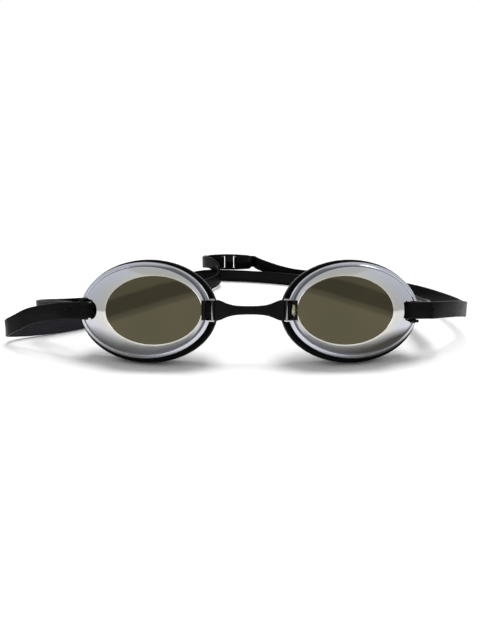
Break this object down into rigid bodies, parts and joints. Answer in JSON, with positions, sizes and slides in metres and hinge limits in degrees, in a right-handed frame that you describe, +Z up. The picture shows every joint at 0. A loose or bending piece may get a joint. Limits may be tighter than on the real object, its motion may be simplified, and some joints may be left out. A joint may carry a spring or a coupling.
{
  "type": "swim goggles",
  "caption": "Racing swim goggles with mirrored lenses, soft gaskets, a flexible nose bridge and a doubled strap with a rear slider.",
  "frame": {"origin": "middle of the goggles' box in plan, on the table they stand on", "axes": "lenses face -Y and lean back, +X is the wearer's left, +Z up"},
  "size_m": [0.2272, 0.156, 0.0445],
  "materials": {
    "mirrored_lens": "polycarbonate with a silver mirror coat, bronze in the flat window",
    "gasket_silicone": "glossy black silicone",
    "strap_silicone": "satin to glossy black silicone",
    "bridge": "satin black flexible plastic",
    "black_plastic": "moulded black plastic"
  },
  "bodies": {
    "bridge": {"nose_bridge": "bridge", "left_outer_strand": "strap_silicone", "left_inner_strand": "strap_silicone", "right_outer_strand": "strap_silicone", "right_inner_strand": "strap_silicone"},
    "left_cup": {"left_lens": "mirrored_lens", "left_gasket": "gasket_silicone", "left_temple_clip": "black_plastic", "left_temple_fold": "strap_silicone"},
    "right_cup": {"right_lens": "mirrored_lens", "right_gasket": "gasket_silicone", "right_temple_clip": "black_plastic", "right_temple_fold": "strap_silicone"},
    "rear_strap": {"rear_lower_strand": "strap_silicone", "rear_upper_strand": "strap_silicone", "rear_crossing_strand": "strap_silicone", "rear_slider": "black_plastic"}
  },
  "joints": [
    {"name": "left_cup_flex", "type": "hinge", "parent": "bridge", "child": "left_cup", "pos_m": [0.01996, -0.07068, 0.02565], "axis": [0, 0.3256, 0.9455], "range_deg": [-6, 8], "stiffness_Nm_per_rad": 0.12},
    {"name": "right_cup_flex", "type": "hinge", "parent": "bridge", "child": "right_cup", "pos_m": [-0.01184, -0.07068, 0.02565], "axis": [0, -0.3256, -0.9455], "range_deg": [-6, 8], "stiffness_Nm_per_rad": 0.12},
    {"name": "rear_strap_stretch", "type": "slide", "parent": "bridge", "child": "rear_strap", "axis": [0, 1, 0], "range_m": [0, 0.04], "stiffness_N_per_m": 300, "deforming": ["left_outer_strand", "left_inner_strand", "right_outer_strand", "right_inner_strand"]}
  ]
}
